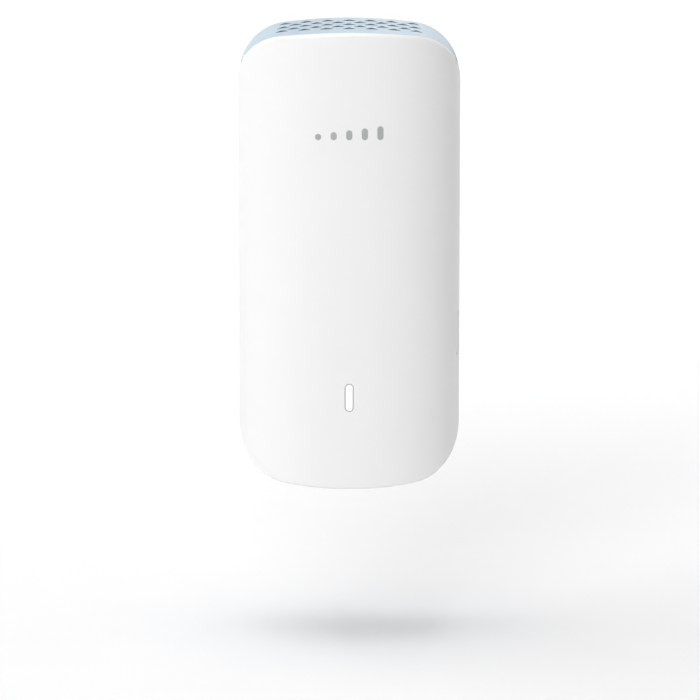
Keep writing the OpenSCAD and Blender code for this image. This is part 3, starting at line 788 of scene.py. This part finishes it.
# CAD nodes keep their shape and get a surface by their material slot
CAD_SURFACES = {
    "blade_metal": surface("blade_metal", (0.74, 0.73, 0.70), 0.24, 900, vary=0.05, metallic=1.0),
    "carrier_plastic": surface("carrier_plastic", (0.74, 0.74, 0.71), 0.5),
    "spring_brass": surface("spring_brass", (0.78, 0.60, 0.30), 0.3, metallic=1.0),
    "brown_board": surface("brown_board", (0.32, 0.22, 0.10), 0.55, vary=0.12),
    "green_board": surface("green_board", (0.02, 0.11, 0.06), 0.32, vary=0.15),
    "fuse_body": surface("fuse_body", (0.45, 0.05, 0.03), 0.4),
    "black_package": surface("black_package", (0.02, 0.02, 0.022), 0.5),
    "white_package": surface("white_package", (0.75, 0.75, 0.70), 0.5),
    "copper_coil": surface("copper_coil", (0.55, 0.22, 0.08), 0.35, 1800, metallic=0.8),
    "dark_sleeve": surface("dark_sleeve", (0.015, 0.018, 0.04), 0.28),
    "ferrite": surface("ferrite", (0.035, 0.035, 0.04), 0.65),
    "yellow_tape": surface("yellow_tape", (0.72, 0.48, 0.05), 0.35),
    "blue_coat": surface("blue_coat", (0.02, 0.10, 0.40), 0.3),
    "gold_contact": surface("gold_contact", (0.90, 0.68, 0.25), 0.2, metallic=1.0),
    "insulator": surface("insulator", (0.72, 0.66, 0.42), 0.5),
    "screw_steel": surface("screw_steel", (0.55, 0.55, 0.57), 0.32, metallic=1.0),
    "tinned_steel": surface("tinned_steel", (0.62, 0.62, 0.60), 0.34, 1200, metallic=1.0),
    "pad_silicone": surface("pad_silicone", (0.35, 0.40, 0.48), 0.8),
    "spreader_aluminium": surface("spreader_aluminium", (0.70, 0.71, 0.72), 0.4, metallic=1.0),
    "jack_plastic": surface("jack_plastic", (0.02, 0.02, 0.022), 0.42),
    "led_body": surface("led_body", (0.85, 0.80, 0.55), 0.3),
    "aerial_board": surface("aerial_board", (0.09, 0.12, 0.03), 0.4),
    "cable_jacket": surface("cable_jacket", (0.02, 0.02, 0.02), 0.45),
    "ceramic_tan": surface("ceramic_tan", (0.45, 0.32, 0.16), 0.45),
    "gasket_foam": surface("gasket_foam", (0.015, 0.015, 0.015), 0.9, 1500, 0.0001),
}
# Width of the rounded edges of the CAD nodes, in millimetres
EDGE_WIDTHS = {
    0.25: ("live_blade", "neutral_blade", "blade_carrier", "transformer_core", "board_carrier"),
    0.15: ("network_jack", "network_jack_shield", "setup_switch", "reset_switch", "mains_choke",
           "heat_spreader", "board_link_socket", "network_transformer", "board_inductors"),
    0.08: ("processor", "memory_chip", "flash_chip", "radio_chips", "power_controller",
           "optocoupler", "output_rectifier", "bridge_rectifier", "setup_plunger",
           "reset_plunger", "power_board_screws", "main_board_screws", "clock_crystals"),
}
for entry in frame["record"]["subparts"]:
    node = frame["nodes"][entry["node"]]
    if entry["material_slot"] in CAD_SURFACES:
        node.data.materials.clear()
        node.data.materials.append(CAD_SURFACES[entry["material_slot"]])
for width, names in EDGE_WIDTHS.items():
    for name in names:
        bevelled(frame["nodes"][name], width * MM)


# ---- Floor, light and camera ----


FLOOR_Z = Z_LOW - 45 * MM  # the extender hangs on its blades, clear of the floor


def build_stage():
    """A round pale floor that turns up into a backdrop on every side."""
    flat, turn, height = 1.5, 0.8, 2.6  # radius of the flat part, of the bend, and the height
    steps, around = 14, 96
    profile = [(flat * k / 4, 0.0) for k in range(1, 5)]
    for c, s in quarter(steps)[1:]:
        profile.append((flat + turn * s, turn * (1 - c)))
    profile.append((flat + turn, height))
    rings = []
    for radius, z in profile:
        turns = [2 * math.pi * k / around for k in range(around)]
        rings.append([(radius * math.cos(t), radius * math.sin(t), FLOOR_Z + z) for t in turns])
    bm = bmesh.new()
    rows = [[bm.verts.new(p) for p in ring] for ring in rings]
    for low, high in zip(rows, rows[1:]):
        for i in range(around):
            j = (i + 1) % around
            bm.faces.new((low[i], low[j], high[j], high[i]))
    bm.faces.new(rows[0])
    stage = mesh_object("floor", bm)
    paint = surface("floor_paint", (0.86, 0.86, 0.86), 0.7, 60, vary=0.01)
    tree = paint.node_tree
    place = tree.nodes.new("ShaderNodeTexCoord")
    split = tree.nodes.new("ShaderNodeSeparateXYZ")
    tree.links.new(place.outputs["Object"], split.inputs["Vector"])

    def fade(axis, start, end, value=1.0):
        """A soft step along an axis, from 0 at start to the value at end."""
        node = tree.nodes.new("ShaderNodeMapRange")
        node.interpolation_type = "SMOOTHSTEP"
        node.inputs["From Min"].default_value = start
        node.inputs["From Max"].default_value = end
        node.inputs["To Max"].default_value = value
        tree.links.new(split.outputs[axis], node.inputs["Value"])
        return node.outputs["Result"]

    # The far part of the floor glows softly, so that it stays white behind the extender,
    # and the glow dies away up the backdrop
    both = tree.nodes.new("ShaderNodeMath")
    both.operation = "MULTIPLY"
    tree.links.new(fade("Y", -0.4, 1.4, 0.6), both.inputs[0])
    tree.links.new(fade("Z", FLOOR_Z + 0.7, FLOOR_Z + 0.05), both.inputs[1])
    shader = tree.nodes["Principled BSDF"]
    shader.inputs["Emission Color"].default_value = (1.0, 1.0, 1.0, 1.0)
    tree.links.new(both.outputs["Value"], shader.inputs["Emission Strength"])
    stage.data.materials.append(paint)


def area_light(name, place, target, size, power):
    light = bpy.data.lights.new(name, "AREA")
    light.shape = "RECTANGLE"
    light.size, light.size_y = size
    light.energy = power
    obj = bpy.data.objects.new(name, light)
    obj.location = place
    obj.rotation_euler = (Vector(target) - Vector(place)).to_track_quat("-Z", "Y").to_euler()
    bpy.context.scene.collection.objects.link(obj)


# Name, place, width and height, and power of each soft light
LIGHTS = (
    ("left_side", (-1.2, -0.05, 0.55), (0.7, 0.6), 3.0),
    ("front", (-0.4, -1.35, 0.75), (0.8, 0.8), 11.1),
    ("top", (-0.25, 0.0, 1.35), (1.0, 1.0), 10.3),
    ("top_right", (0.6, 0.0, 1.2), (0.8, 0.8), 1.1),
    ("rear", (0.4, 1.25, 0.42), (0.9, 0.5), 1.4),
    ("rear_left", (-0.5, 1.25, 0.42), (0.9, 0.5), 0.6),
)
WORLD_COLOR = (0.93, 0.95, 0.97, 1.0)
WORLD_STRENGTH = 0.1

build_stage()
body_centre = Vector((0, (cad_box[0][1] + cad_box[1][1]) / 2, Z_MID))
for name, place, size, power in LIGHTS:
    area_light(name, place, body_centre, size, power)

bpy.context.scene.view_settings.view_transform = "Standard"
world = bpy.data.worlds.new("studio")
world.use_nodes = True
world.node_tree.nodes["Background"].inputs["Color"].default_value = WORLD_COLOR
world.node_tree.nodes["Background"].inputs["Strength"].default_value = WORLD_STRENGTH
bpy.context.scene.world = world

CAMERA_SENSOR, CAMERA_LENS = 36, 202.9  # millimetres
CAMERA_DISTANCE = 1.1
CAMERA_ELEVATION = math.radians(11.12)
# The camera aims low, so that the body stands in the upper part of the view
CAMERA_AIM = Vector((0.2 * MM, FRONT_Y * 0.7, Z_MID - 26.45 * MM))

camera_data = bpy.data.cameras.new("camera")
camera_data.sensor_width = CAMERA_SENSOR
camera_data.lens = CAMERA_LENS
camera = bpy.data.objects.new("camera", camera_data)
bpy.context.scene.collection.objects.link(camera)
camera.location = CAMERA_AIM + CAMERA_DISTANCE * Vector(
    (0, -math.cos(CAMERA_ELEVATION), math.sin(CAMERA_ELEVATION))
)
camera.rotation_euler = (CAMERA_AIM - camera.location).to_track_quat("-Z", "Y").to_euler()
bpy.context.scene.camera = camera
